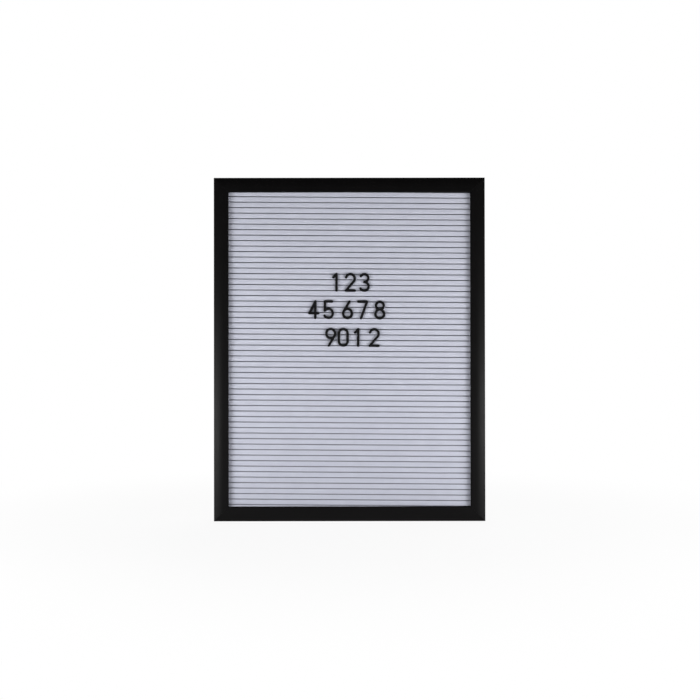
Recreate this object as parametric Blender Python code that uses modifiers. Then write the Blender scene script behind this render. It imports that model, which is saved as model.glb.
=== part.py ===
"""A felt letter board: a mitred black frame round a grooved, felt-faced panel, with plain
numbers pushed into the grooves. Metres, +Z up, and the front faces -Y. The origin is the
middle of the bottom edge, halfway through the whole depth."""

import math

import bmesh
import bpy
from mathutils import Matrix

# Frame: outside size, and the section of its rails
BOARD_WIDTH = 0.300
BOARD_HEIGHT = 0.380
RAIL_WIDTH = 0.016
LIP_THICKNESS = 0.0055
REBATE_WIDTH = 0.0065
FLAT_BAND = 0.005
CROWN_DROP = 0.0018
OUTER_ROUND = 0.0012
INNER_ROUND = 0.0005
BACK_RECESS = 0.0021
GLUE_LINE = 0.0002
FIT = 0.0003

# Panel: ribs across, with a groove between each two
GROOVE_PITCH = 0.0061
GROOVE_WIDTH = 0.0010
GROOVE_DEPTH = 0.0040
PANEL_THICKNESS = 0.0065
TOP_RIB = 0.0042
RIB_SHOULDER = 0.0003
PANEL_TILT = math.radians(0.48)

# Numbers that push into the grooves
CHARACTER_WIDTH = 0.0125
CHARACTER_THICKNESS = 0.0022
CHARACTER_EDGE = 0.0003
CHARACTER_RIBS = 3
STROKE_WIDTH = 0.0028
TAB_WIDTH = 0.0045
TAB_TIP_GAP = 0.0006
TAB_SIDE_GAP = 0.0002

# Each row: its top groove, its numbers, the middle of the row, and the gaps set by hand
ROWS = (
    (15, "123", -0.0001, (0.0040, 0.0029)),
    (20, "45678", -0.0033, (0.0037, 0.0088, 0.0041, 0.0066)),
    (25, "9012", 0.0032, (0.0014, 0.0029, 0.0064)),
)

# Back: board, the points that hold it, and the nails in the corners
BACKING_THICKNESS = 0.0025
BACKING_EDGE = 0.0003
POINT_WIDTH = 0.006
POINT_REACH = 0.009
POINT_BITE = 0.005
POINT_TIP = 0.0025
POINT_THICKNESS = 0.0005
POINTS_ACROSS = 2
POINTS_UP = 3
CORNER_NAIL_LEG = 0.005
CORNER_NAIL_THICKNESS = 0.0006
CORNER_NAIL_DEPTH = 0.008

# Hanger on the top rail's back
HANGER_LENGTH = 0.044
HANGER_HEIGHT = 0.0075
HANGER_THICKNESS = 0.0008
HANGER_RAISE = 0.0012
HANGER_END = 0.008
HANGER_RAMP = 0.003
TOOTH_PITCH = 0.0018
TOOTH_DEPTH = 0.0012
TOOTH_TIP = 0.0001
NAIL_LENGTH = 0.009
NAIL_RADIUS = 0.0006
NAIL_HEAD_RADIUS = 0.002
NAIL_HEAD_HEIGHT = 0.0008

# Facets of the round stretches
BOWL_STEP = 15
END_STEP = 30
CROWN_FACETS = 8
ROUND_FACETS = 4
RIB_FACETS = 10
NAIL_FACETS = 12
RIB_POWER = 4
WELD = 0.000001

# Sizes that follow from those above
BACK_LAND = RAIL_WIDTH - REBATE_WIDTH
REBATE_SPAN = BOARD_WIDTH - 2 * BACK_LAND
REBATE_RISE = BOARD_HEIGHT - 2 * BACK_LAND
PANEL_FRONT = LIP_THICKNESS + FIT
PANEL_BACK = PANEL_FRONT + PANEL_THICKNESS
BACKING_BACK = PANEL_BACK + FIT + BACKING_THICKNESS
POINT_MIDDLE = BACKING_BACK + FIT + POINT_THICKNESS / 2
RAIL_DEPTH = POINT_MIDDLE + POINT_THICKNESS / 2 + BACK_RECESS
HANGER_STAND = FIT + HANGER_RAISE + HANGER_THICKNESS
FRONT_Y = -(RAIL_DEPTH + HANGER_STAND) / 2
BACK_Y = FRONT_Y + RAIL_DEPTH
CHARACTER_RISE = CHARACTER_RIBS * GROOVE_PITCH
CHARACTER_REACH = (CHARACTER_WIDTH - STROKE_WIDTH) / 2

# Turn about Y that brings a rail's inward side round from +X, and the corners between rails
RAIL_TURNS = {"left": 0, "top": 90, "right": 180, "bottom": -90}
CORNER_TURNS = {"bottom_left": 0, "top_left": 90, "top_right": 180, "bottom_right": -90}

# Outlines are drawn in X and Y, and this stands them up so that they face the front
STAND_UP = Matrix.Rotation(math.radians(90), 4, "X")


def clear_scene():
    for old in list(bpy.data.objects):
        bpy.data.objects.remove(old, do_unlink=True)


def new_collection(name):
    made = bpy.data.collections.new(name)
    bpy.context.scene.collection.children.link(made)
    return made


def new_material(name, colour, roughness, metallic=0.0):
    made = bpy.data.materials.new(name)
    made.use_nodes = True
    shader = made.node_tree.nodes["Principled BSDF"]
    shader.inputs["Base Color"].default_value = (*colour, 1.0)
    shader.inputs["Roughness"].default_value = roughness
    shader.inputs["Metallic"].default_value = metallic
    return made


def add_piece(name, mesh, material, place=None, parent=None):
    """Put a mesh into the board's collection as a named piece."""
    piece = bpy.data.objects.new(name, mesh)
    BOARD.objects.link(piece)
    if not mesh.materials:
        mesh.materials.append(material)
    piece.parent = parent
    piece.matrix_local = place or Matrix.Identity(4)
    return piece


def cut(piece, mesh, place=None):
    """Cut a hole in a piece with a hidden mesh placed in the piece's own axes."""
    cutter = bpy.data.objects.new(piece.name + "_cutter", mesh)
    CUTTERS.objects.link(cutter)
    cutter.matrix_world = piece.matrix_local @ (place or Matrix.Identity(4))
    cutter.hide_render = True
    cutter.display_type = "WIRE"
    hole = piece.modifiers.new("cut", "BOOLEAN")
    hole.operation = "DIFFERENCE"
    hole.object = cutter


def evaluated_mesh(drawn):
    """The mesh that an object shows, with the object removed."""
    bpy.context.view_layer.update()
    graph = bpy.context.evaluated_depsgraph_get()
    mesh = bpy.data.meshes.new_from_object(drawn.evaluated_get(graph))
    bpy.data.objects.remove(drawn)
    return mesh


def plate_mesh(outlines, thickness, edge=0.0):
    """A plate drawn by closed outlines in XY, the inner ones holes, halfway through at Z 0."""
    curve = bpy.data.curves.new("outline", "CURVE")
    curve.dimensions = "2D"
    curve.fill_mode = "BOTH"
    curve.extrude = thickness / 2 - edge
    curve.bevel_depth = edge
    curve.bevel_resolution = 0
    curve.offset = -edge
    for outline in outlines:
        spline = curve.splines.new("POLY")
        spline.points.add(len(outline) - 1)
        for point, (x, y) in zip(spline.points, outline):
            point.co = (x, y, 0.0, 1.0)
        spline.use_cyclic_u = True
    drawn = bpy.data.objects.new("outline", curve)
    bpy.context.scene.collection.objects.link(drawn)
    mesh = evaluated_mesh(drawn)
    return weld(mesh)


def weld(mesh):
    """Join a curve's loose caps to its sides."""
    shape = bmesh.new()
    shape.from_mesh(mesh)
    bmesh.ops.remove_doubles(shape, verts=shape.verts, dist=WELD)
    bmesh.ops.recalc_face_normals(shape, faces=shape.faces)
    shape.to_mesh(mesh)
    shape.free()
    return mesh


def box_mesh(width, depth, height, edge=0.0):
    """A box on its own middle, with its edges taken off where edge is given."""
    shape = bmesh.new()
    bmesh.ops.create_cube(shape, size=1.0)
    bmesh.ops.scale(shape, vec=(width, depth, height), verts=shape.verts)
    if edge:
        bmesh.ops.bevel(shape, geom=shape.edges, offset=edge, segments=1, affect="EDGES")
    mesh = bpy.data.meshes.new("box")
    shape.to_mesh(mesh)
    shape.free()
    return mesh


def cylinder_mesh(radius, length):
    """A cylinder along Y on its own middle."""
    shape = bmesh.new()
    bmesh.ops.create_cone(
        shape,
        cap_ends=True,
        segments=NAIL_FACETS,
        radius1=radius,
        radius2=radius,
        depth=length,
        matrix=STAND_UP,
    )
    mesh = bpy.data.meshes.new("cylinder")
    shape.to_mesh(mesh)
    shape.free()
    return mesh


def joined(meshes):
    """One mesh from several that overlap."""
    whole = bpy.data.objects.new("joined", meshes[0])
    bpy.context.scene.collection.objects.link(whole)
    others = []
    for mesh in meshes[1:]:
        other = bpy.data.objects.new("joining", mesh)
        bpy.context.scene.collection.objects.link(other)
        union = whole.modifiers.new("join", "BOOLEAN")
        union.operation = "UNION"
        union.object = other
        others.append(other)
    mesh = evaluated_mesh(whole)
    for other in others:
        bpy.data.objects.remove(other)
    return mesh


def arc(middle, radii, start, end, step):
    """Points along an upright ellipse, from one angle in degrees to another."""
    facets = max(1, round(abs(end - start) / step))
    points = []
    for index in range(facets + 1):
        angle = math.radians(start + (end - start) * index / facets)
        x = middle[0] + radii[0] * math.cos(angle)
        points.append((x, middle[1] + radii[1] * math.sin(angle)))
    return points


# Frame


def rail_section():
    """Outline of a rail cut across: X runs in from its outer side, Y back from its front.

    The front is flat beside the opening and falls in one arc towards the outer side, where a
    small round ends it. The rebate behind the lip is square.
    """
    run = RAIL_WIDTH - FLAT_BAND
    crown = (run**2 + CROWN_DROP**2) / (2 * CROWN_DROP)
    fall = math.asin((run - OUTER_ROUND) / (crown - OUTER_ROUND))
    round_y = crown - (crown - OUTER_ROUND) * math.cos(fall)
    points = []
    for step in range(CROWN_FACETS):
        angle = fall * step / CROWN_FACETS
        points.append((run - crown * math.sin(angle), crown - crown * math.cos(angle)))
    for step in range(ROUND_FACETS + 1):
        angle = fall + (math.pi / 2 - fall) * step / ROUND_FACETS
        x = OUTER_ROUND * (1 - math.sin(angle))
        points.append((x, round_y - OUTER_ROUND * math.cos(angle)))
    points.append((0.0, RAIL_DEPTH))
    points.append((BACK_LAND, RAIL_DEPTH))
    points.append((BACK_LAND, LIP_THICKNESS))
    points.append((RAIL_WIDTH, LIP_THICKNESS))
    for step in range(ROUND_FACETS + 1):
        angle = math.pi / 2 * step / ROUND_FACETS
        x = RAIL_WIDTH - INNER_ROUND * (1 - math.cos(angle))
        points.append((x, INNER_ROUND * (1 - math.sin(angle))))
    return points


def rail_place(side):
    """A rail's own axes: X inwards, Y back, Z along it, from the middle of its outer side."""
    turn = Matrix.Rotation(math.radians(RAIL_TURNS[side]), 4, "Y")
    half = BOARD_WIDTH / 2 if side in ("left", "right") else BOARD_HEIGHT / 2
    middle = Matrix.Translation((0.0, FRONT_Y, BOARD_HEIGHT / 2))
    return middle @ turn @ Matrix.Translation((-half, 0.0, 0.0))


def make_rail(side):
    """A rail with mitred ends: each end point moves in by its distance from the outer side."""
    length = BOARD_HEIGHT if side in ("left", "right") else BOARD_WIDTH
    mesh = plate_mesh([rail_section()], length)
    for vertex in mesh.vertices:
        end = length / 2 - vertex.co.x - GLUE_LINE / math.sqrt(2)
        vertex.co.z = math.copysign(end, vertex.co.z)
    return add_piece("frame_rail_" + side, mesh, LACQUER, rail_place(side))


def corner_nail_mesh(margin=0.0):
    """A bent strip with a leg along each rail, and round it the margin that a pocket needs."""
    half = CORNER_NAIL_THICKNESS / 2 + margin
    leg = CORNER_NAIL_LEG + margin
    outline = [(-half, -half), (leg, -half), (leg, half), (half, half), (half, leg), (-half, leg)]
    mesh = plate_mesh([outline], CORNER_NAIL_DEPTH + 2 * margin)
    mesh.transform(STAND_UP)
    return mesh


def corner_place(corner):
    """The middle of a corner nail's bend, on the mitre, with the nail just below the back."""
    across = BOARD_WIDTH / 2 - BACK_LAND / 2
    up = BOARD_HEIGHT / 2 - BACK_LAND / 2
    x = -across if "left" in corner else across
    z = -up if "bottom" in corner else up
    y = BACK_Y - FIT - CORNER_NAIL_DEPTH / 2
    turn = Matrix.Rotation(math.radians(CORNER_TURNS[corner]), 4, "Y")
    return Matrix.Translation((x, y, BOARD_HEIGHT / 2 + z)) @ turn


def make_corner(corner, rails):
    """A corner nail, and its pocket in both rails that meet there."""
    place = corner_place(corner)
    add_piece("corner_nail_" + corner, corner_nail_mesh(), STEEL, place)
    for side in corner.split("_"):
        rail = rails[side]
        cut(rail, corner_nail_mesh(FIT), rail.matrix_local.inverted() @ place)


# Panel


def rib_points(low, high):
    """Top of a rib cut across, from one groove to the next: flat, with round shoulders.

    The curve is a superellipse. X runs up the panel and Y runs back from the ribs' crowns.
    """
    middle = (low + high) / 2
    half = (high - low) / 2
    points = []
    for step in range(RIB_FACETS + 1):
        angle = math.pi * step / RIB_FACETS
        across = -math.copysign(abs(math.cos(angle)) ** (2 / RIB_POWER), math.cos(angle))
        rise = math.sin(angle) ** (2 / RIB_POWER) if 0 < step < RIB_FACETS else 0.0
        points.append((middle + half * across, RIB_SHOULDER * (1 - rise)))
    return points


def panel_size():
    """The largest panel that lies askew in the rebate and keeps its clearance all round."""
    span = REBATE_SPAN - 2 * FIT
    rise = REBATE_RISE - 2 * FIT
    cosine = math.cos(PANEL_TILT)
    sine = math.sin(abs(PANEL_TILT))
    shrink = math.cos(2 * PANEL_TILT)
    width = (span * cosine - rise * sine) / shrink
    height = (rise * cosine - span * sine) / shrink
    return width, height


def groove_heights():
    """Height of each groove above the panel's middle, from the top down."""
    height = panel_size()[1]
    top = height / 2 - TOP_RIB
    count = math.floor((height - TOP_RIB) / GROOVE_PITCH - GROOVE_WIDTH / GROOVE_PITCH) + 1
    return [top - GROOVE_PITCH * index for index in range(count)]


def panel_section():
    """Outline of the panel cut from top to bottom, in X up and Y back."""
    height = panel_size()[1]
    points = [(height / 2, PANEL_THICKNESS), (-height / 2, PANEL_THICKNESS)]
    low = -height / 2
    for groove in reversed(groove_heights()):
        points += rib_points(low, groove - GROOVE_WIDTH / 2)
        points.append((groove - GROOVE_WIDTH / 2, GROOVE_DEPTH))
        points.append((groove + GROOVE_WIDTH / 2, GROOVE_DEPTH))
        low = groove + GROOVE_WIDTH / 2
    return points + rib_points(low, height / 2)


def make_panel():
    """The grooved panel, drawn on its side and turned up."""
    mesh = plate_mesh([panel_section()], panel_size()[0])
    mesh.transform(Matrix.Rotation(math.radians(-90), 4, "Y"))
    add_piece("letter_panel", mesh, FELT, parent=SEAT)


# Numbers


def line(start, end):
    return [start, end]


def bowl(height, radii, start, end):
    """An arc about the middle of the number. Heights and widths are shares of its cell."""
    return arc((0.0, height), radii, start, end, BOWL_STEP)


def number_strokes(number):
    """Centre lines of a number's strokes, in a cell from -1 to 1 across and 0 to 1 up.

    A line that ends where it starts is a ring.
    """
    if number == "0":
        ring = bowl(0.73, (1, 0.27), 0, 180) + bowl(0.27, (1, 0.27), 180, 360)
        return [ring + ring[:1]]
    if number == "1":
        return [line((0.24, 0), (0.24, 1)), line((0.24, 1), (-0.5, 0.8))]
    if number == "2":
        top = bowl(0.73, (1, 0.27), 165, -35)
        return [top, line(top[-1], (-1, 0)), line((-1, 0), (1, 0))]
    if number == "3":
        return [bowl(0.76, (0.9, 0.24), 150, -90), bowl(0.26, (1, 0.26), 90, -150)]
    if number == "4":
        stem = line((0.36, 1), (0.36, 0))
        return [stem, line((0.36, 1), (-1, 0.28)), line((-1, 0.28), (1, 0.28))]
    if number == "5":
        lower = bowl(0.28, (1, 0.28), 145, -150)
        return [lower, line(lower[0], (-0.78, 1)), line((-0.78, 1), (0.84, 1))]
    if number == "6":
        ring = bowl(0.28, (1, 0.28), 0, 360)
        return [ring, line(bowl(0.28, (1, 0.28), 155, 155)[0], (0.42, 1))]
    if number == "7":
        return [line((-1, 1), (1, 1)), line((1, 1), (-0.34, 0))]
    if number == "8":
        return [bowl(0.26, (1, 0.26), 0, 360), bowl(0.76, (0.88, 0.24), 0, 360)]
    six = number_strokes("6")
    return [[(-x, 1 - z) for x, z in stroke] for stroke in six]


# Where each number's tabs stand across its cell, at its top and bottom groove
TAB_PLACES = {
    "0": (0, 0),
    "1": (0.24, 0.24),
    "2": (0, 0),
    "3": (0, 0),
    "4": (0.36, 0.36),
    "5": (0, 0),
    "6": (0.42, 0),
    "7": (0, -0.34),
    "8": (0, 0),
    "9": (0, -0.42),
}


def side_points(path, closed, side):
    """A path moved sideways by half a stroke, to its left for side 1 and its right for -1."""
    points = []
    last = len(path) - 1
    for index, (x, y) in enumerate(path):
        before = path[index - 1] if closed or index > 0 else path[index]
        after = path[(index + 1) % len(path)] if closed or index < last else path[index]
        along = math.hypot(after[0] - before[0], after[1] - before[1])
        left = (-(after[1] - before[1]) / along, (after[0] - before[0]) / along)
        move = side * STROKE_WIDTH / 2
        points.append((x + move * left[0], y + move * left[1]))
    return points


def round_end(path):
    """The half circle that ends a stroke, from its right side round to its left."""
    (x, y), before = path[-1], path[-2]
    ahead = math.degrees(math.atan2(y - before[1], x - before[0]))
    radii = (STROKE_WIDTH / 2, STROKE_WIDTH / 2)
    return arc((x, y), radii, ahead - 90, ahead + 90, END_STEP)[1:-1]


def stroke_outlines(path):
    """Outlines of one stroke of the pen: a ring has two, and any other has one."""
    if math.dist(path[0], path[-1]) < WELD:
        ring = path[:-1]
        return [side_points(ring, True, 1), side_points(ring, True, -1)]
    back = path[::-1]
    right = side_points(path, False, -1)
    return [right + round_end(path) + side_points(back, False, -1) + round_end(back)]


def tab_mesh(number, at_top):
    """A thin tab behind a number, at the height of a groove."""
    place = TAB_PLACES[number][0 if at_top else 1]
    width = TAB_WIDTH if place == 0 else STROKE_WIDTH - 2 * CHARACTER_EDGE
    reach = GROOVE_DEPTH + FIT - TAB_TIP_GAP
    root = CHARACTER_THICKNESS / 2
    mesh = box_mesh(width, GROOVE_WIDTH - 2 * TAB_SIDE_GAP, reach + root)
    up = CHARACTER_RISE if at_top else 0.0
    mesh.transform(Matrix.Translation((place * CHARACTER_REACH, up, (root - reach) / 2)))
    return mesh


def number_mesh(number):
    """A number with its tabs: X across, Z up from its bottom groove, its back at Y 0."""
    meshes = []
    for stroke in number_strokes(number):
        path = [(x * CHARACTER_REACH, z * CHARACTER_RISE) for x, z in stroke]
        mesh = plate_mesh(stroke_outlines(path), CHARACTER_THICKNESS, CHARACTER_EDGE)
        mesh.transform(Matrix.Translation((0.0, 0.0, CHARACTER_THICKNESS / 2)))
        meshes.append(mesh)
    meshes += [tab_mesh(number, True), tab_mesh(number, False)]
    mesh = joined(meshes)
    mesh.transform(STAND_UP)
    return mesh


def make_characters():
    """The numbers in their rows. Numbers that are the same share a mesh."""
    grooves = groove_heights()
    meshes = {}
    for row, (groove, numbers, middle, gaps) in enumerate(ROWS, start=1):
        length = CHARACTER_WIDTH * len(numbers) + sum(gaps)
        x = middle - length / 2 + CHARACTER_WIDTH / 2
        for index, number in enumerate(numbers):
            if number not in meshes:
                meshes[number] = number_mesh(number)
            z = grooves[groove] - CHARACTER_RISE
            place = Matrix.Translation((x, -FIT, z))
            name = f"character_row_{row}_{index + 1}"
            add_piece(name, meshes[number], PLASTIC, place, SEAT)
            if index < len(gaps):
                x += CHARACTER_WIDTH + gaps[index]


# Back


def make_backing():
    """The board that closes the back, square in the rebate."""
    mesh = box_mesh(
        REBATE_SPAN - 2 * FIT,
        BACKING_THICKNESS,
        REBATE_RISE - 2 * FIT,
        BACKING_EDGE,
    )
    y = FRONT_Y + BACKING_BACK - BACKING_THICKNESS / 2
    place = Matrix.Translation((0.0, y, BOARD_HEIGHT / 2))
    add_piece("backing_board", mesh, HARDBOARD, place)


def point_mesh():
    """A soft steel strip: its tip goes into the rail, and its round end lies over the board."""
    half = POINT_WIDTH / 2
    tip = [(-POINT_BITE + POINT_TIP, half), (-POINT_BITE, 0.0), (-POINT_BITE + POINT_TIP, -half)]
    over = arc((POINT_REACH - half, 0.0), (half, half), -90, 90, END_STEP)
    mesh = plate_mesh([over + tip], POINT_THICKNESS)
    mesh.transform(STAND_UP)
    return mesh


def make_points(side, rail, count):
    """Points along one rail, each in its slot, spread evenly over the rail's length."""
    length = BOARD_HEIGHT if side in ("left", "right") else BOARD_WIDTH
    slot_depth = POINT_BITE + 2 * FIT
    mesh = point_mesh()
    for index in range(count):
        along = length * ((index + 0.5) / count - 0.5)
        place = Matrix.Translation((BACK_LAND, POINT_MIDDLE, along))
        name = f"back_point_{side}_{index + 1}"
        add_piece(name, mesh, STEEL, rail.matrix_local @ place)
        slot = box_mesh(slot_depth, POINT_THICKNESS + 2 * FIT, POINT_WIDTH + 2 * FIT)
        cut(rail, slot, place @ Matrix.Translation((FIT - slot_depth / 2, 0.0, 0.0)))


def hanger_section():
    """Side of the hanger's strip: flat ends, and a middle raised off the rail by two ramps."""
    half = HANGER_LENGTH / 2
    foot = half - HANGER_END
    step = foot - HANGER_RAMP
    under = [(-half, 0.0), (-foot, 0.0), (-step, HANGER_RAISE)]
    under += [(-x, y) for x, y in reversed(under)]
    return under + [(x, y + HANGER_THICKNESS) for x, y in reversed(under)]


def teeth_mesh():
    """The saw edge's notches, as many as fit along the raised middle."""
    room = HANGER_LENGTH - 2 * (HANGER_END + HANGER_RAMP)
    count = math.floor(room / TOOTH_PITCH)
    start = -count * TOOTH_PITCH / 2
    outline = [(-start, -TOOTH_DEPTH), (start, -TOOTH_DEPTH)]
    for notch in range(count):
        left = start + notch * TOOTH_PITCH
        outline.append((left + TOOTH_TIP / 2, -TOOTH_TIP))
        outline.append((left + TOOTH_PITCH / 2, TOOTH_DEPTH))
        outline.append((left + TOOTH_PITCH - TOOTH_TIP / 2, -TOOTH_TIP))
    mesh = plate_mesh([outline], 4 * (HANGER_RAISE + HANGER_THICKNESS))
    mesh.transform(STAND_UP)
    return mesh


def nail_mesh():
    """A turned nail along Y, its head towards +Y and its seat at Y 0."""
    head = NAIL_HEAD_RADIUS
    shank = NAIL_RADIUS
    profile = [
        (0.0, NAIL_HEAD_HEIGHT),
        (head * 0.7, NAIL_HEAD_HEIGHT * 0.85),
        (head, NAIL_HEAD_HEIGHT * 0.4),
        (head, 0.0),
        (shank, 0.0),
        (shank, 2 * shank - NAIL_LENGTH),
        (0.0, -NAIL_LENGTH),
    ]
    mesh = bpy.data.meshes.new("nail")
    edges = [(index, index + 1) for index in range(len(profile) - 1)]
    mesh.from_pydata([(x, 0.0, z) for x, z in profile], edges, [])
    drawn = bpy.data.objects.new("nail", mesh)
    bpy.context.scene.collection.objects.link(drawn)
    turning = drawn.modifiers.new("turn", "SCREW")
    turning.steps = NAIL_FACETS
    turning.render_steps = NAIL_FACETS
    turning.use_merge_vertices = True
    turning.merge_threshold = WELD
    turned = weld(evaluated_mesh(drawn))
    turned.transform(Matrix.Rotation(math.radians(-90), 4, "X"))
    return turned


def make_hanger(top_rail):
    """The saw-tooth hanger in the middle of the top rail, with a nail through each end."""
    z = BOARD_HEIGHT - BACK_LAND / 2
    mesh = plate_mesh([hanger_section()], HANGER_HEIGHT)
    hanger = add_piece("hanger", mesh, STEEL, Matrix.Translation((0.0, BACK_Y + FIT, z)))
    cut(hanger, teeth_mesh(), Matrix.Translation((0.0, 0.0, -HANGER_HEIGHT / 2)))
    nail = nail_mesh()
    for side, sign in (("left", -1), ("right", 1)):
        x = sign * (HANGER_LENGTH - HANGER_END) / 2
        y = BACK_Y + FIT + HANGER_THICKNESS + FIT
        add_piece("hanger_nail_" + side, nail, STEEL, Matrix.Translation((x, y, z)))
        bore = cylinder_mesh(NAIL_RADIUS + FIT, 2 * (NAIL_LENGTH + FIT))
        hole = Matrix.Translation((x, y, z))
        cut(hanger, bore, hanger.matrix_local.inverted() @ hole)
        cut(top_rail, bore, top_rail.matrix_local.inverted() @ hole)


clear_scene()
BOARD = new_collection("felt_letter_board")
CUTTERS = new_collection("cutters")
LACQUER = new_material("black_lacquer", (0.012, 0.011, 0.012), 0.38)
FELT = new_material("pale_felt", (0.60, 0.61, 0.68), 0.95)
PLASTIC = new_material("black_plastic", (0.010, 0.010, 0.011), 0.35)
HARDBOARD = new_material("hardboard", (0.27, 0.17, 0.10), 0.8)
STEEL = new_material("steel", (0.60, 0.60, 0.60), 0.35, 1.0)

# The panel lies a little askew, and its numbers with it
SEAT = bpy.data.objects.new("panel_seat", None)
BOARD.objects.link(SEAT)
SEAT.location = (0.0, FRONT_Y + PANEL_FRONT, BOARD_HEIGHT / 2)
SEAT.rotation_euler = (0.0, PANEL_TILT, 0.0)

RAILS = {side: make_rail(side) for side in RAIL_TURNS}
for corner_name in CORNER_TURNS:
    make_corner(corner_name, RAILS)
make_panel()
make_characters()
make_backing()
for rail_side, its_rail in RAILS.items():
    how_many = POINTS_UP if rail_side in ("left", "right") else POINTS_ACROSS
    make_points(rail_side, its_rail, how_many)
make_hanger(RAILS["top"])
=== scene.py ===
# %% [markdown]
# # A felt letter board
#
# A black mitred frame holds a pale board with level grooves, and numbers with two small tabs push
# into the grooves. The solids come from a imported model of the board. This script gives every piece
# its fine edges and its finish, and then sets up a plain studio round it.
#
# Everything is in metres. The front faces -Y, +X runs to the right and +Z up the board.

import math

import bmesh
import bpy
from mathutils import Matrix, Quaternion, Vector


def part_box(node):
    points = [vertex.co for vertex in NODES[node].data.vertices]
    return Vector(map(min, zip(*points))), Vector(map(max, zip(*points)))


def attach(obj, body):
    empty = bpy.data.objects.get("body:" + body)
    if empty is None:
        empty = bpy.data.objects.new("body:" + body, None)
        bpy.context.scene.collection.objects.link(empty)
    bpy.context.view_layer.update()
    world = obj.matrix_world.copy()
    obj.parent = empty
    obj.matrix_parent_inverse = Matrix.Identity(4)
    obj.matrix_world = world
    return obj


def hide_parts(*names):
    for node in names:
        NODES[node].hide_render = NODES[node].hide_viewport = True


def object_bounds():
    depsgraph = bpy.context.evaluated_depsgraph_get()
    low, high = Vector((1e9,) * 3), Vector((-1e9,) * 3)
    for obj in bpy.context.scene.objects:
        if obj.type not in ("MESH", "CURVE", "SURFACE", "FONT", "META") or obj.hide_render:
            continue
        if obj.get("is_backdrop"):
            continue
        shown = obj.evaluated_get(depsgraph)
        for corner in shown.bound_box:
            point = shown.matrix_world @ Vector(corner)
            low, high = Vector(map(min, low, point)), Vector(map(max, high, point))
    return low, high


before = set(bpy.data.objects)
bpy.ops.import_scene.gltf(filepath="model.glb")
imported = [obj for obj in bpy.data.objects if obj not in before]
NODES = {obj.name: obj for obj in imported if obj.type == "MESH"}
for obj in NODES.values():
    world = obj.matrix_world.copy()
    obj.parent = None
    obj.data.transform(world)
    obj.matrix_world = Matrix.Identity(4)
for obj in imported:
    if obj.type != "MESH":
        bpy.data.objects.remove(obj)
cad_low, cad_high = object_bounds()
MM = 0.001
print("board of", len(NODES), "solids,", [round(side / MM, 1) for side in cad_high - cad_low], "mm")

# %% [markdown]
# ## Shader sums as plain Python
#
# A material in Blender is a graph of nodes, and a graph built by hand in code soon gets hard to
# read. A small class helps: it wraps one output socket, and its operators add Math nodes. Then
# `1 - mask * 0.2` reads as it would on paper. A Math node turns a colour grey, so colours are
# mixed by a method of their own, and one more method adds any other node.


# %% A socket with operators
def find_socket(sockets, key):
    """A socket by its number, its name or its identifier."""
    if isinstance(key, int):
        return sockets[key]
    return next(socket for socket in sockets if key in (socket.identifier, socket.name))


def set_stops(ramp, stops):
    """Give a colour ramp its stops, each a position and a colour."""
    while len(ramp.elements) < len(stops):
        ramp.elements.new(1.0)
    for element, (position, colour) in zip(ramp.elements, stops):
        element.position = position
        element.color = (*colour, 1.0)


class Wire:
    """One output of a node, which can be used in sums."""

    def __init__(self, socket):
        self.socket = socket

    def node(self, kind, settings, inputs, output=0):
        """Add a node beside this one: first its settings, then its sockets' values or links."""
        made = self.socket.id_data.nodes.new(kind)
        for key, value in settings.items():
            if key == "stops":
                set_stops(made.color_ramp, value)
            else:
                setattr(made, key, value)
        for key, value in inputs.items():
            plug(find_socket(made.inputs, key), value)
        return Wire(find_socket(made.outputs, output))

    def math(self, operation, *values):
        return self.node("ShaderNodeMath", {"operation": operation}, dict(enumerate(values)))

    def between(self, low, high):
        """A colour that runs from low, where this wire is 0, to high, where it is 1."""
        sockets = {"Factor_Float": self, "A_Color": low, "B_Color": high}
        return self.node("ShaderNodeMix", {"data_type": "RGBA"}, sockets, "Result_Color")

    def step(self, start, end):
        """0 below start and 1 above end, with a soft change between them."""
        settings = {"interpolation_type": "SMOOTHSTEP"}
        sockets = {"Value": self, "From Min": start, "From Max": end}
        return self.node("ShaderNodeMapRange", settings, sockets)

    def __add__(self, other):
        return self.math("ADD", self, other)

    __radd__ = __add__

    def __mul__(self, other):
        return self.math("MULTIPLY", self, other)

    __rmul__ = __mul__

    def __sub__(self, other):
        return self.math("SUBTRACT", self, other)

    def __rsub__(self, other):
        return self.math("SUBTRACT", other, self)


def plug(socket, value):
    """Link a wire to a socket, or set the socket's own value."""
    if isinstance(value, Wire):
        socket.id_data.links.new(value.socket, socket)
    elif socket.type == "RGBA" and len(value) == 3:
        socket.default_value = (*value, 1.0)
    else:
        socket.default_value = value


# %% [markdown]
# ## Patterns that every finish shares
#
# All the finishes here are made of the same few things: an even grain, strokes that run one way,
# and a bump. They read Object coordinates. A finished piece's object stays at the origin, so those
# are plain metres on the board, and `size` can be the real size of a grain.


# %% Grain, strokes and bump
def new_finish(name, constants):
    """A material with its constants set on the shader, and the wire of Object coordinates."""
    finish = bpy.data.materials.new(name)
    finish.use_nodes = True
    shader = finish.node_tree.nodes["Principled BSDF"]
    for key, value in constants.items():
        plug(shader.inputs[key], value)
    place = Wire(finish.node_tree.nodes.new("ShaderNodeTexCoord").outputs["Object"])
    return finish, shader, place


def grain(place, size, detail=2.0, roughness=0.5):
    """Even noise from 0 to 1, with grains of about that size in metres."""
    sockets = {"Vector": place, "Scale": 1 / size, "Detail": detail, "Roughness": roughness}
    return place.node("ShaderNodeTexNoise", {}, sockets, "Fac")


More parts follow.
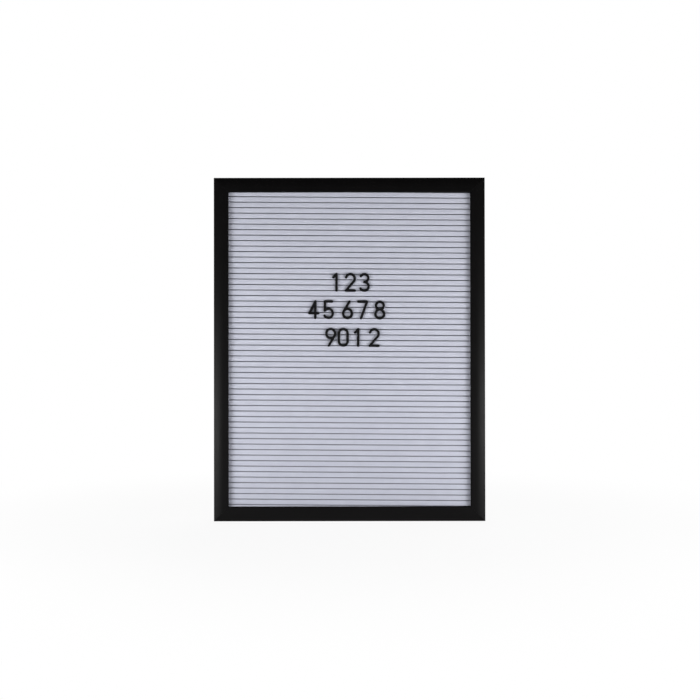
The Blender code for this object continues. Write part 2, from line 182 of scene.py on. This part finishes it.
def strokes(place, length, width, turn=0.0, detail=2.0):
    """Noise drawn out into strokes along X, turned about Y by that many degrees."""
    turned = {"Vector": place, "Rotation": (0.0, math.radians(turn), 0.0)}
    laid = place.node("ShaderNodeMapping", {"vector_type": "TEXTURE"}, turned)
    drawn = {"Vector": laid, "Scale": (1 / length, 1 / width, 1 / width)}
    scaled = place.node("ShaderNodeMapping", {}, drawn)
    sockets = {"Vector": scaled, "Scale": 1.0, "Detail": detail}
    return place.node("ShaderNodeTexNoise", {}, sockets, "Fac")


def bump(height, distance):
    """Normals from a height of 0 to 1 that stands for that many metres."""
    return height.node("ShaderNodeBump", {}, {"Height": height, "Distance": distance}, "Normal")


# %% [markdown]
# ## Felt
#
# The ribs are covered with a thin felt, pressed and not woven: short fibres lie on it every way.
# It could be grown as hair, but from a step away each fibre is far thinner than what the eye can
# tell, so crossed strokes in the colour and the bump do it. Felt has hardly any shine, only a
# soft sheen where the fibres catch light at the edges of the ribs. Deep in the grooves the ribs'
# sides are painted a darker grey by a mask of depth, as painted shade.


# %% Felt finish
FELT_COLOUR = (0.615, 0.628, 0.722)
FELT_SHADE = (0.555, 0.568, 0.658)
# Painted shade: the darker grey that the felt is given deep in the grooves.
FELT_PAINTED_GROOVE_SHADE = (0.340, 0.346, 0.402)
FELT_CONSTANTS = {
    "Roughness": 1.0,
    "Specular IOR Level": 0.15,
    "Sheen Weight": 0.08,
    "Sheen Roughness": 0.5,
}
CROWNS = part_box("letter_panel")[0].y
GROOVE_SHADE = (CROWNS + 0.3 * MM, CROWNS + 1.6 * MM)
FIBRE_LENGTH = 2.2 * MM
FIBRE_WIDTH = 0.16 * MM
FIBRE_TURNS = (8, 52, 101, 147)
FIBRE_FADE = (0.45, 0.75)
FIBRE_SHARE = 0.65
FELT_CLOUD_SIZE = 14 * MM
FELT_CLOUD_FADE = (0.3, 0.7)
FUZZ_SIZE = 0.25 * MM
FUZZ_SHARE = 0.4
FELT_RELIEF = 0.09 * MM


def felt_finish():
    finish, shader, place = new_finish("felt", FELT_CONSTANTS)
    fibres = strokes(place, FIBRE_LENGTH, FIBRE_WIDTH, FIBRE_TURNS[0])
    for turn in FIBRE_TURNS[1:]:
        more = strokes(place, FIBRE_LENGTH, FIBRE_WIDTH, turn)
        fibres = fibres.math("MAXIMUM", fibres, more)
    fibres = fibres.step(*FIBRE_FADE)
    clouds = grain(place, FELT_CLOUD_SIZE, detail=3.0).step(*FELT_CLOUD_FADE)
    tone = fibres * FIBRE_SHARE + clouds * (1 - FIBRE_SHARE)
    depth = place.node("ShaderNodeSeparateXYZ", {}, {"Vector": place}, "Y")
    # Painted shade: the felt's colour darkens with depth into the grooves.
    down = depth.step(*GROOVE_SHADE)
    colour = down.between(tone.between(FELT_SHADE, FELT_COLOUR), FELT_PAINTED_GROOVE_SHADE)
    plug(shader.inputs["Base Color"], colour)
    fuzz = grain(place, FUZZ_SIZE, detail=4.0, roughness=0.7)
    nap = fibres * (1 - FUZZ_SHARE) + fuzz * FUZZ_SHARE
    plug(shader.inputs["Normal"], bump(nap, FELT_RELIEF))
    return finish


FELT = felt_finish()
print("felt of", len(FIBRE_TURNS), "layers of fibres,", FIBRE_LENGTH / MM, "mm long")

# %% [markdown]
# ## Black lacquer on fibreboard
#
# The frame is fibreboard with a satin black lacquer. Sprayed lacquer has a faint orange peel, and
# the moulding cutter leaves long marks along the rail, so the bump has both. Inside the opening,
# the cut edge of the lip drinks the lacquer and stays matt. The backs of the rails are left raw,
# apart from the mist of spray that drifts round the outer edge.
#
# One material does all of it with masks by place. The distance from the opening's edge, or from
# the outer edge, is the larger of a distance across and a distance up, as for any rectangle. The
# masks come first, and each has a helper.


# %% Masks on the rails
RAIL_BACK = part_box("frame_rail_left")[1].y
OPENING_HALF_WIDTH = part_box("frame_rail_right")[0].x
OPENING_HALF_HEIGHT = (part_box("frame_rail_top")[0].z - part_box("frame_rail_bottom")[1].z) / 2
OUTER_HALF_WIDTH = cad_high.x
OUTER_HALF_HEIGHT = cad_high.z / 2
SPRAY_SIZE = 2.5 * MM
SPRAY_DRIFT = 0.3 * MM
SPRAY_FADE = 0.15 * MM
MIST_WIDTH = 4.5 * MM
MIST_DROP = 0.35 * MM
MIST_FADE = (0.62, 0.90)
LIP_FADE = (0.1 * MM, 0.5 * MM)


def from_edge(across, up, half_width, half_height):
    """Metres outside the edge of a rectangle round the board's middle, negative inside it."""
    sideways = across.math("ABSOLUTE", across) - half_width
    upwards = up.math("ABSOLUTE", up - OUTER_HALF_HEIGHT) - half_height
    return sideways.math("MAXIMUM", sideways, upwards)


def raw_back(place, depth):
    """1 on the raw back of a rail, with a ragged edge where the spray stopped."""
    spray = grain(place, SPRAY_SIZE, detail=3.0)
    return (depth + spray * SPRAY_DRIFT).step(RAIL_BACK - SPRAY_FADE, RAIL_BACK)


def spray_mist(place, across, up):
    """1 on the drops of lacquer that drifted onto the back, densest at the outer edge."""
    outer = from_edge(across, up, OUTER_HALF_WIDTH, OUTER_HALF_HEIGHT)
    drops = grain(place, MIST_DROP, detail=3.0, roughness=0.7)
    return (drops + outer.step(-MIST_WIDTH, MIST_WIDTH)).step(*MIST_FADE)


def thirsty_lip(across, up):
    """1 on the cut edge of the lip, inside the opening."""
    opening = from_edge(across, up, OPENING_HALF_WIDTH, OPENING_HALF_HEIGHT)
    return 1 - opening.step(*LIP_FADE)


print("lacquer stops at", round(RAIL_BACK / MM, 2), "mm, the rails' back")


# %% Lacquer finish
LACQUER_COLOUR = (0.0021, 0.0019, 0.0020)
LACQUER_SMUDGED = tuple(1.5 * part for part in LACQUER_COLOUR)
LACQUER_SHINE = 0.080
LACQUER_ROUGHNESS = 0.30
SMUDGE_SIZE = 22 * MM
SMUDGE_ROUGHNESS = 0.07
MARK_LENGTH = 60 * MM
MARK_WIDTH = 0.35 * MM
MARK_ROUGHNESS = 0.07
PEEL_SIZE = 1.3 * MM
PEEL_SHARE = 0.55
LACQUER_RELIEF = 0.012 * MM
RAW_BOARD = (0.330, 0.232, 0.150)
RAW_BOARD_DARK = (0.255, 0.174, 0.108)
RAW_MATTNESS = 0.7
FLECK_SIZE = 0.5 * MM
FLECK_FADE = (0.35, 0.65)
FLECK_RELIEF = 3.0


def lacquer_finish(name, turn):
    """Lacquer on a rail that runs along X, turned about Y by that many degrees."""
    finish, shader, place = new_finish(name, {"Specular IOR Level": LACQUER_SHINE})
    across, depth, up = [
        place.node("ShaderNodeSeparateXYZ", {}, {"Vector": place}, axis) for axis in "XYZ"
    ]
    raw = raw_back(place, depth)
    flecks = grain(place, FLECK_SIZE, detail=4.0, roughness=0.7).step(*FLECK_FADE)
    bare = flecks.between(RAW_BOARD_DARK, RAW_BOARD)
    board = spray_mist(place, across, up).between(bare, LACQUER_COLOUR)
    smudge = grain(place, SMUDGE_SIZE, detail=3.0)
    black = smudge.between(LACQUER_COLOUR, LACQUER_SMUDGED)
    plug(shader.inputs["Base Color"], raw.between(black, board))
    marks = strokes(place, MARK_LENGTH, MARK_WIDTH, turn, detail=3.0)
    satin = LACQUER_ROUGHNESS + smudge * SMUDGE_ROUGHNESS + marks * MARK_ROUGHNESS
    thirsty = thirsty_lip(across, up)
    matt = thirsty.math("MAXIMUM", raw * RAW_MATTNESS, thirsty)
    plug(shader.inputs["Roughness"], satin + (1 - satin) * matt)
    lacquered = grain(place, PEEL_SIZE) * PEEL_SHARE + marks * (1 - PEEL_SHARE)
    height = lacquered * (1 - raw) + flecks * raw * FLECK_RELIEF
    plug(shader.inputs["Normal"], bump(height, LACQUER_RELIEF))
    return finish


LACQUER_ACROSS = lacquer_finish("lacquer_across", 0)
LACQUER_UP = lacquer_finish("lacquer_up", 90)
print("lacquer has", len(LACQUER_UP.node_tree.nodes), "nodes")

# %% [markdown]
# ## Moulded plastic
#
# The numbers are moulded in black plastic, which mirrors a little more than the lacquer does. A
# fine even grain breaks up the shine, as a spark-eroded mould leaves it.


# %% Plastic finish
PLASTIC_COLOUR = (0.0022, 0.0022, 0.0027)
PLASTIC_LIGHTER = tuple(1.35 * part for part in PLASTIC_COLOUR)
PLASTIC_SHINE = 0.17
PLASTIC_ROUGHNESS = 0.33
SPARK_SIZE = 0.12 * MM
SPARK_ROUGHNESS = 0.09
SPARK_SHARE = 0.7
SWIRL_SIZE = 4 * MM
SWIRL_ROUGHNESS = 0.05
PLASTIC_RELIEF = 0.008 * MM


def plastic_finish():
    finish, shader, place = new_finish("plastic", {"Specular IOR Level": PLASTIC_SHINE})
    sparks = grain(place, SPARK_SIZE)
    swirls = grain(place, SWIRL_SIZE)
    plug(shader.inputs["Base Color"], swirls.between(PLASTIC_COLOUR, PLASTIC_LIGHTER))
    roughness = PLASTIC_ROUGHNESS + sparks * SPARK_ROUGHNESS + swirls * SWIRL_ROUGHNESS
    plug(shader.inputs["Roughness"], roughness)
    height = sparks * SPARK_SHARE + swirls * (1 - SPARK_SHARE)
    plug(shader.inputs["Normal"], bump(height, PLASTIC_RELIEF))
    return finish


PLASTIC = plastic_finish()
print("plastic with a grain of", SPARK_SIZE / MM, "mm")

# %% [markdown]
# ## Hardboard
#
# The back is closed with hardboard: steamed wood fibre pressed to a dense brown sheet. Its smooth
# side shows long fibres that cross over short ones, a few dark bits of bark among them, and a
# faint waxy shine. Each layer of strokes below has a length, a width and a turn in degrees.


# %% Hardboard finish
HARDBOARD_DARK = (0.170, 0.096, 0.050)
HARDBOARD_WARM = (0.248, 0.146, 0.076)
HARDBOARD_LIGHT = (0.290, 0.182, 0.106)
BROWNS = [(0.0, HARDBOARD_DARK), (0.6, HARDBOARD_WARM), (1.0, HARDBOARD_LIGHT)]
BROWNS_FADE = (0.38, 0.66)
BARK = (0.060, 0.034, 0.020)
BARK_FADE = (0.70, 0.74)
LONG_FIBRES = (7 * MM, 0.45 * MM, 20)
CROSS_FIBRES = (5 * MM, 0.40 * MM, 112)
BARK_BITS = (1.6 * MM, 0.5 * MM, 65)
SHORT_FIBRE_SIZE = 0.7 * MM
SHORT_FIBRE_SHARE = 0.4
STAIN_SIZE = 45 * MM
STAIN_SHARE = 0.2
HARDBOARD_SHINE = 0.4
HARDBOARD_ROUGHNESS = 0.52
SHORT_FIBRE_ROUGHNESS = 0.16
HARDBOARD_RELIEF = 0.05 * MM


def hardboard_finish():
    finish, shader, place = new_finish("hardboard", {"Specular IOR Level": HARDBOARD_SHINE})
    along = strokes(place, *LONG_FIBRES, detail=3.0)
    crossing = strokes(place, *CROSS_FIBRES, detail=3.0)
    crossed = along.math("MAXIMUM", along, crossing)
    short = grain(place, SHORT_FIBRE_SIZE, detail=4.0, roughness=0.65)
    fibres = crossed * (1 - SHORT_FIBRE_SHARE) + short * SHORT_FIBRE_SHARE
    stains = grain(place, STAIN_SIZE, detail=3.0)
    tone = (fibres * (1 - STAIN_SHARE) + stains * STAIN_SHARE).step(*BROWNS_FADE)
    browns = tone.node("ShaderNodeValToRGB", {"stops": BROWNS}, {"Fac": tone}, "Color")
    bits = strokes(place, *BARK_BITS, detail=1.0).step(*BARK_FADE)
    plug(shader.inputs["Base Color"], bits.between(browns, BARK))
    plug(shader.inputs["Roughness"], HARDBOARD_ROUGHNESS + short * SHORT_FIBRE_ROUGHNESS)
    plug(shader.inputs["Normal"], bump(fibres, HARDBOARD_RELIEF))
    return finish


HARDBOARD = hardboard_finish()
print("hardboard in", len(BROWNS), "browns, with bits of bark")

# %% [markdown]
# ## Zinc-plated steel
#
# The framer's points, corner nails and hanger are stamped from plated strip. Rolling leaves fine
# lines, which lie level on every piece here, and handling dulls it in patches, so both change the
# roughness. A metal shows what is round it, and that tells it from plastic.


# %% Steel finish
STEEL_COLOUR = (0.600, 0.600, 0.585)
STEEL_DULL = (0.470, 0.462, 0.440)
STEEL_ROUGHNESS = 0.24
ROLLED_LENGTH = 9 * MM
ROLLED_WIDTH = 0.10 * MM
ROLLED_ROUGHNESS = 0.14
PATCH_SIZE = 2.4 * MM
PATCH_FADE = (0.35, 0.7)
PATCH_ROUGHNESS = 0.16
STEEL_RELIEF = 0.006 * MM


def steel_finish():
    finish, shader, place = new_finish("steel", {"Metallic": 1.0})
    rolled = strokes(place, ROLLED_LENGTH, ROLLED_WIDTH, detail=3.0)
    patches = grain(place, PATCH_SIZE, detail=3.0, roughness=0.6).step(*PATCH_FADE)
    plug(shader.inputs["Base Color"], patches.between(STEEL_COLOUR, STEEL_DULL))
    roughness = STEEL_ROUGHNESS + rolled * ROLLED_ROUGHNESS + patches * PATCH_ROUGHNESS
    plug(shader.inputs["Roughness"], roughness)
    plug(shader.inputs["Normal"], bump(rolled, STEEL_RELIEF))
    return finish


STEEL = steel_finish()
print("steel with patches of", PATCH_SIZE / MM, "mm")

# %% [markdown]
# ## Fine edges
#
# The solids have true sections but hard edges, and no real edge is perfectly sharp: a mitre saw,
# a mould and a stamping press each leave a small round that catches a line of light. The mesh of
# a loaded solid is loose triangles, so each piece starts as a copy whose corners are merged. Flat
# neighbours are then dissolved into one face, a Bevel modifier rounds what turns by more than
# `EDGE_ANGLE`, and the shading is smoothed up to `SMOOTH_ANGLE`. Weighted normals keep flat faces
# looking flat right up to their rounds.

# %% Dress a solid
EDGE_SEGMENTS = 2
EDGE_ANGLE = math.radians(40)
SMOOTH_ANGLE = math.radians(34)
FLAT_ANGLE = math.radians(0.2)
MERGE_DISTANCE = 0.002 * MM


def only(piece):
    """Select one piece and nothing else."""
    bpy.ops.object.select_all(action="DESELECT")
    piece.select_set(True)
    bpy.context.view_layer.objects.active = piece


def finished(piece, finish, slot, *nodes):
    """Give a piece its finish, and let it stand for its solids."""
    piece.data.materials.clear()
    piece.data.materials.append(finish)
    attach(piece, "root")
    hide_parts(*nodes)


def dressed(node, name, edge=0.0, segments=EDGE_SEGMENTS, mitred=None):
    """A merged copy of a solid, with its sharp edges rounded, and its mitres closed if it has any."""
    piece = bpy.data.objects.new(name, NODES[node].data.copy())
    bpy.context.scene.collection.objects.link(piece)
    only(piece)
    bpy.ops.object.mode_set(mode="EDIT")
    bpy.ops.mesh.select_all(action="SELECT")
    bpy.ops.mesh.remove_doubles(threshold=MERGE_DISTANCE)
    bpy.ops.mesh.customdata_custom_splitnormals_clear()
    bpy.ops.mesh.dissolve_limited(angle_limit=FLAT_ANGLE)
    if mitred:
        close_mitres(piece, mitred)
    bpy.ops.object.mode_set(mode="OBJECT")
    if edge:
        rounding = piece.modifiers.new("edges", "BEVEL")
        rounding.width = edge
        rounding.segments = segments
        rounding.limit_method = "ANGLE"
        rounding.angle_limit = EDGE_ANGLE
        bpy.ops.object.modifier_apply(modifier=rounding.name)
    bpy.ops.object.shade_smooth_by_angle(angle=SMOOTH_ANGLE)
    flats = piece.modifiers.new("flats", "WEIGHTED_NORMAL")
    flats.keep_sharp = True
    bpy.ops.object.modifier_apply(modifier=flats.name)
    return piece


# %% [markdown]
# ## The frame
#
# Four lengths of one moulding meet in mitres. The solids stand a hair apart there, where the real
# rails are glued, and light would shine through. So each end face is pushed out along its rail
# until the two meet, and only the fine bevel shows where the joint is. Only the mitred faces slant
# both across and up, so their normals tell them from all others. The lacquer's long marks follow
# each rail: the top and bottom rails take one finish, and the side rails the same one turned
# upright.

# %% Dress the rails
RAIL_EDGE = 0.10 * MM
MITRE_SLANT = 0.6
ACROSS = Vector((1.0, 0.0, 0.0))
UP = Vector((0.0, 0.0, 1.0))
RAILS = {
    "top": (LACQUER_ACROSS, ACROSS),
    "bottom": (LACQUER_ACROSS, ACROSS),
    "left": (LACQUER_UP, UP),
    "right": (LACQUER_UP, UP),
}
MITRE_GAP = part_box("frame_rail_left")[0].z


def close_mitres(rail, along):
    """Push both mitred ends of a rail out along it, through half of the glue line."""
    for end in (along, -along):
        bpy.ops.mesh.select_mode(type="FACE")
        bpy.ops.mesh.select_all(action="DESELECT")
        shape = bmesh.from_edit_mesh(rail.data)
        for face in shape.faces:
            slanted = min(abs(face.normal.x), abs(face.normal.z)) > MITRE_SLANT
            face.select_set(slanted and face.normal.dot(end) > 0)
        bmesh.update_edit_mesh(rail.data)
        bpy.ops.transform.translate(value=end * MITRE_GAP)


for side, (lacquer, along) in RAILS.items():
    rail = dressed("frame_rail_" + side, "rail_" + side, RAIL_EDGE, mitred=along)
    finished(rail, lacquer, "frame_lacquer", "frame_rail_" + side)
    print(rail.name, "has", len(rail.data.polygons), "faces")

# %% [markdown]
# ## The grooved panel
#
# The ribs are the face of the board, and the grooves between them grip the numbers' tabs. The
# grooves are real, so their shade comes from the light, and the felt finish adds painted shade, a
# darker grey deep in them. The section is already round at the shoulders of each rib, and it
# only needs smooth shading.

# %% Dress the panel
panel = dressed("letter_panel", "grooved_panel")
finished(panel, FELT, "panel_felt", "letter_panel")
print(panel.name, "has", len(panel.data.polygons), "faces")

# %% [markdown]
# ## The numbers
#
# Each number is one moulding with two thin tabs behind. Its front edges have a small radius from
# the mould.

# %% Dress the numbers
NUMBER_EDGE = 0.12 * MM

CHARACTERS = [node for node in sorted(NODES) if node.startswith("character_")]

for node in CHARACTERS:
    number = dressed(node, node.replace("character", "number"), NUMBER_EDGE)
    finished(number, PLASTIC, "character_plastic", node)
print(len(CHARACTERS), "numbers with edges of", NUMBER_EDGE / MM, "mm")

# %% [markdown]
# ## The back
#
# Hardboard closes the back, soft steel points hold it in, and bent nails hold the mitres. The
# hanger is a strip with a saw edge, which hooks over a nail in the wall.

# %% Dress the back
STAMPED_EDGE = 0.05 * MM
BOARD_EDGE = 0.12 * MM

STAMPINGS = [node for node in sorted(NODES) if node.startswith(("back_point", "corner_nail"))]

backing = dressed("backing_board", "hardboard_back", BOARD_EDGE)
finished(backing, HARDBOARD, "hardboard", "backing_board")
for node in STAMPINGS:
    name = node.replace("back_point", "point").replace("corner", "mitre")
    finished(dressed(node, name, STAMPED_EDGE, segments=1), STEEL, "steel", node)
saw_hanger = dressed("hanger", "saw_hanger", STAMPED_EDGE)
finished(saw_hanger, STEEL, "steel", "hanger")
print(len(STAMPINGS), "points and corner nails, one board and one hanger")

# %% [markdown]
# ## The hanger's nails
#
# Two short nails hold the hanger to the rail. A nail is wire with a struck head, and it could be
# turned from a profile. Here it grows out of the wire, as the head does on the real one: a
# cylinder's end is widened to the head's rim and raised in rings that follow a quarter of an
# ellipse, and the other end is drawn out to a point. It is modelled once, at the origin, and
# copied to both ends of the hanger.

# %% Model a nail
NAIL_SIDES = 32
DOME_RINGS = 6
SHANK_RADIUS = 0.6 * MM
HEAD_HEIGHT = 0.8 * MM
RIM_HEIGHT = 0.2 * MM
POINT_LENGTH = 1.2 * MM
POINT_SHARE = 0.12
END_FACING = 0.99
NAIL_LOW, NAIL_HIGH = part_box("hanger_nail_left")
HEAD_RADIUS = (NAIL_HIGH.x - NAIL_LOW.x) / 2
SHANK_LENGTH = NAIL_HIGH.y - NAIL_LOW.y - HEAD_HEIGHT - POINT_LENGTH


def select_end(piece, side):
    """In edit mode, select the flat end of a piece that faces +Y for side 1 and -Y for side -1."""
    bpy.ops.mesh.select_mode(type="FACE")
    bpy.ops.mesh.select_all(action="DESELECT")
    shape = bmesh.from_edit_mesh(piece.data)
    for face in shape.faces:
        face.select_set(face.normal.y * side > END_FACING)
    bmesh.update_edit_mesh(piece.data)


def draw_out(length, share):
    """Extrude the selected end along Y, and widen or narrow it about the nail's axis."""
    bpy.ops.mesh.extrude_region_move(TRANSFORM_OT_translate={"value": (0.0, length, 0.0)})
    bpy.ops.transform.resize(value=(share, 1.0, share), center_override=(0.0, 0.0, 0.0))


def dome_ring(ring):
    """Radius and height of a ring of the dome, above the head's rim."""
    lean = math.pi / 2 * ring / DOME_RINGS
    return HEAD_RADIUS * math.cos(lean), (HEAD_HEIGHT - RIM_HEIGHT) * math.sin(lean)


def model_nail():
    """A nail along Y, its seat at Y 0 and its head towards +Y."""
    bpy.ops.object.select_all(action="DESELECT")
    bpy.ops.mesh.primitive_cylinder_add(
        vertices=NAIL_SIDES,
        radius=SHANK_RADIUS,
        depth=SHANK_LENGTH,
        location=(0.0, -SHANK_LENGTH / 2, 0.0),
        rotation=(math.radians(90), 0.0, 0.0),
    )
    nail = bpy.context.object
    bpy.ops.object.transform_apply(location=True, rotation=True, scale=True)
    bpy.ops.object.mode_set(mode="EDIT")
    select_end(nail, -1)
    draw_out(-POINT_LENGTH, POINT_SHARE)
    select_end(nail, 1)
    draw_out(0.0, HEAD_RADIUS / SHANK_RADIUS)
    draw_out(RIM_HEIGHT, 1.0)
    for ring in range(1, DOME_RINGS):
        radius, height = dome_ring(ring)
        last_radius, last_height = dome_ring(ring - 1)
        draw_out(height - last_height, radius / last_radius)
    draw_out(HEAD_HEIGHT - RIM_HEIGHT - height, 1.0)
    bpy.ops.mesh.merge(type="CENTER")
    bpy.ops.object.mode_set(mode="OBJECT")
    bpy.ops.object.shade_smooth_by_angle(angle=SMOOTH_ANGLE)
    return nail


nail = model_nail()
print("nail has", len(nail.data.polygons), "faces")

# %% Drive both nails
for side in ("left", "right"):
    low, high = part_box("hanger_nail_" + side)
    driven = bpy.data.objects.new("nail_" + side, nail.data.copy())
    bpy.context.scene.collection.objects.link(driven)
    driven.location = ((low.x + high.x) / 2, high.y - HEAD_HEIGHT, (low.z + high.z) / 2)
    only(driven)
    bpy.ops.object.transform_apply(location=True, rotation=True, scale=True)
    finished(driven, STEEL, "steel", "hanger_nail_" + side)
bpy.data.objects.remove(nail)

# %% [markdown]
# ## The studio
#
# The board stands on a pale floor. The camera sees the floor as almost pure white, straight or
# mirrored in the lacquer and the steel, and near the board a small share of it is plain diffuse
# paint that takes the board's shadow. Light that bounces off it is that of a white table.

# %% Floor
FLOOR_RADIUS = 4.0
FLOOR_SIDES = 64
FLOOR_SHADOW_SHARE = 0.08
SHADOW_FADE = (0.20, 0.60)
WHITE = (1.0, 1.0, 1.0)
FLOOR_PAINT = (0.90, 0.90, 0.90)
FLOOR_ROUGHNESS = 0.9
MIRRORED_RAYS = ("Is Glossy Ray", "Is Transmission Ray")

bpy.ops.object.select_all(action="DESELECT")
bpy.ops.mesh.primitive_circle_add(vertices=FLOOR_SIDES, radius=FLOOR_RADIUS, fill_type="NGON")
floor = bpy.context.object
floor.name = "floor"
floor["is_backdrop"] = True


def ray(beside, *kinds):
    """1 for rays of any of these kinds and 0 for all others."""
    found = [beside.node("ShaderNodeLightPath", {}, {}, kind) for kind in kinds]
    total = found[0]
    for more in found[1:]:
        total = total.math("MAXIMUM", total, more)
    return total


def floor_finish():
    finish = bpy.data.materials.new("floor")
    finish.use_nodes = True
    tree = finish.node_tree
    shader = tree.nodes["Principled BSDF"]
    plug(shader.inputs["Base Color"], FLOOR_PAINT)
    plug(shader.inputs["Roughness"], FLOOR_ROUGHNESS)
    paint = Wire(shader.outputs["BSDF"])
    light = paint.node("ShaderNodeEmission", {}, {"Color": WHITE, "Strength": 1.0})
    place = paint.node("ShaderNodeTexCoord", {}, {}, "Object")
    reach = paint.node("ShaderNodeVectorMath", {"operation": "LENGTH"}, {0: place}, "Value")
    near = 1 - reach.step(*SHADOW_FADE)
    share = ray(paint, "Is Camera Ray", *MIRRORED_RAYS) * (1 - near * FLOOR_SHADOW_SHARE)
    mixed = paint.node("ShaderNodeMixShader", {}, {0: share, 1: paint, 2: light})
    plug(tree.nodes["Material Output"].inputs["Surface"], mixed)
    return finish


floor.data.materials.append(floor_finish())
print("floor of", FLOOR_RADIUS, "m round the board, its shadow gone", SHADOW_FADE[1], "m out")

# %% [markdown]
# ## Room light
#
# The room is dim in front of the board and brighter behind it, as with a white sweep at the back
# of a studio. The black frame needs that dim front: it mirrors the room behind the camera. The
# camera sees the whole room as white, and whatever shines mirrors the sweep at the back as white.

# %% World
ROOM_FRONT = 0.14
ROOM_BACK = 0.75
SWEEP_RISE = (0.0, 0.8)


def studio_world():
    world = bpy.data.worlds.new("studio")
    world.use_nodes = True
    tree = world.node_tree
    room = Wire(tree.nodes["Background"].outputs["Background"])
    looking = room.node("ShaderNodeTexCoord", {}, {}, "Generated")
    depth = room.node("ShaderNodeSeparateXYZ", {}, {"Vector": looking}, "Y")
    sweep = depth.step(*SWEEP_RISE)
    level = ROOM_FRONT + sweep * (ROOM_BACK - ROOM_FRONT)
    white = sweep.math("MAXIMUM", ray(room, "Is Camera Ray"), sweep * ray(room, *MIRRORED_RAYS))
    plug(tree.nodes["Background"].inputs["Color"], WHITE)
    plug(tree.nodes["Background"].inputs["Strength"], level.math("MAXIMUM", level, white))
    bpy.context.scene.world = world


studio_world()
print("room light of", ROOM_FRONT, "in front and", ROOM_BACK, "behind")

# %% [markdown]
# ## Soft boxes
#
# Two soft boxes stand low and close, about half a metre to each side of the board's middle and as
# far in front of it. So each side rail throws a short soft shadow on the ribs, and the rails shine
# a little towards their outer edges, most at the bottom. A third, behind, lights the back.

# %% Lamps
BOARD_MIDDLE = (cad_low + cad_high) / 2
RIGHT_LAMP_PLACE = Vector((0.53, -0.47, 0.075))
LEFT_LAMP_PLACE = Vector((-0.52, -0.47, 0.075))
SIDE_LAMP_SIZE = (0.38, 0.14)
SIDE_LAMP_POWER = 2.58
BACK_LAMP_PLACE = Vector((0.9, 1.5, 1.5))
BACK_LAMP_SIZE = (2.4, 2.0)
BACK_LAMP_POWER = 19.0


def soft_box(name, place, size, power):
    """A rectangular lamp turned towards the middle of the board."""
    lamp = bpy.data.lights.new(name, "AREA")
    lamp.shape = "RECTANGLE"
    lamp.size, lamp.size_y = size
    lamp.energy = power
    stand = bpy.data.objects.new(name, lamp)
    stand.location = place
    stand.rotation_euler = (BOARD_MIDDLE - place).to_track_quat("-Z", "Y").to_euler()
    bpy.context.scene.collection.objects.link(stand)
    print(name, "of", size, "m and", power, "W")


soft_box("right_soft_box", RIGHT_LAMP_PLACE, SIDE_LAMP_SIZE, SIDE_LAMP_POWER)
soft_box("left_soft_box", LEFT_LAMP_PLACE, SIDE_LAMP_SIZE, SIDE_LAMP_POWER)
soft_box("back_soft_box", BACK_LAMP_PLACE, BACK_LAMP_SIZE, BACK_LAMP_POWER)

# %% [markdown]
# ## Camera
#
# The camera looks at the middle of the board from a little over a metre. It stands a few
# millimetres lower, and it leans by less than a tenth of a degree. The lens follows from the width
# that the picture takes in at the board's front.

# %% Camera
CAMERA_DISTANCE = 1.2
PICTURE_WIDTH = 0.7727
SENSOR_WIDTH = 36.0
CAMERA_PITCH = math.radians(0.33)
CAMERA_ROLL = math.radians(-0.075)
AIM_RIGHT = 0.6 * MM
AIM_DOWN = 0.8 * MM
AIM = Vector((AIM_RIGHT, cad_low.y, BOARD_MIDDLE.z - AIM_DOWN))

lens = bpy.data.cameras.new("camera")
lens.sensor_width = SENSOR_WIDTH
lens.lens = SENSOR_WIDTH * CAMERA_DISTANCE / PICTURE_WIDTH
camera = bpy.data.objects.new("camera", lens)
bpy.context.scene.collection.objects.link(camera)
backwards = Vector((0.0, -math.cos(CAMERA_PITCH), -math.sin(CAMERA_PITCH)))
camera.location = AIM + CAMERA_DISTANCE * backwards
facing = (AIM - camera.location).to_track_quat("-Z", "Y")
camera.rotation_euler = (facing @ Quaternion((0, 0, 1), CAMERA_ROLL)).to_euler()
bpy.context.scene.camera = camera
bpy.context.scene.view_settings.view_transform = "Standard"
print("lens of", round(lens.lens, 1), "mm at", CAMERA_DISTANCE, "m")

# %% [markdown]
# ## Sizes
#
# The dressed board has to stay inside the solids' box, so both boxes are written down.

# %% Print the dressed board's box
low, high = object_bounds()
print("dressed board is", [round(side / MM, 2) for side in high - low], "mm")
